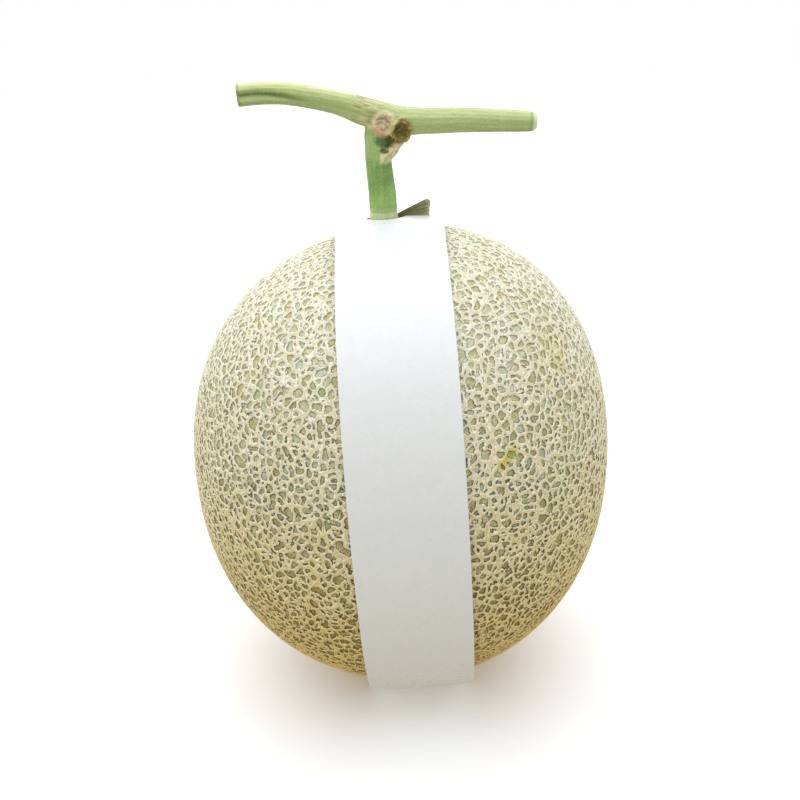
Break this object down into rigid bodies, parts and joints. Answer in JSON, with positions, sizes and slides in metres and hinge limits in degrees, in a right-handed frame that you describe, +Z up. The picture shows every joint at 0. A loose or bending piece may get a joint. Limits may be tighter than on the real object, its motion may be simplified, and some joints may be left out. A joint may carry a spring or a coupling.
{
  "type": "muskmelon",
  "caption": "Whole netted muskmelon standing on a small flat spot, with a T-shaped cut stalk, a dried bract and a bare paper band over its top and front.",
  "frame": {"origin": "middle of the small flat spot that the fruit stands on", "axes": "+Z up along the fruit's axis, -Y towards the front with the paper band, +X to the right seen from the front"},
  "size_m": [0.1459, 0.1469, 0.208],
  "materials": {
    "netted_rind": "matt corky net over satin skin",
    "green_stalk": "satin, finely ribbed",
    "dried_leaf": "matt, finely veined",
    "white_paper": "coated, soft gloss"
  },
  "bodies": {
    "root": {"melon": "netted_rind", "stalk": "green_stalk", "dried_bract": "dried_leaf", "paper_band": "white_paper"}
  },
  "joints": []
}
